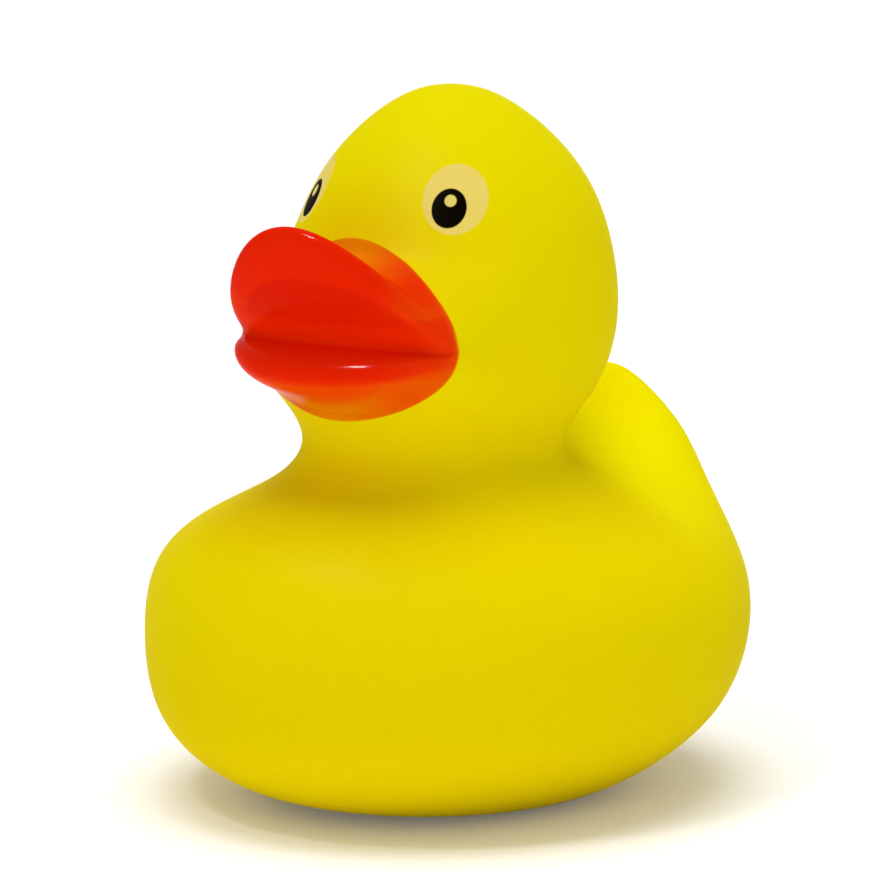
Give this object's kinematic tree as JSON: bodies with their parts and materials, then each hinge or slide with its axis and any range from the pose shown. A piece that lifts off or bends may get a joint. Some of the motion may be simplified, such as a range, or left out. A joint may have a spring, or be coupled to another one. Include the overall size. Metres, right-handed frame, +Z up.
{
  "type": "rubber duck",
  "caption": "Hollow moulded vinyl bath duck with an upswept painted bill, printed eyes, a raised tail and a press-in squeaker in its flat base.",
  "frame": {"origin": "bottom centre of the bounding box, in the plane of the flat base", "axes": "+Z up, the duck faces -Y, its left side is towards +X and its tail towards +Y"},
  "size_m": [0.0742, 0.0822, 0.0895],
  "materials": {
    "yellow_vinyl": "soft satin vinyl, moulded in its colour",
    "squeaker_plastic": "stiff white plastic, natural"
  },
  "bodies": {
    "root": {"duck_body": "yellow_vinyl", "squeaker": "squeaker_plastic"}
  },
  "joints": []
}
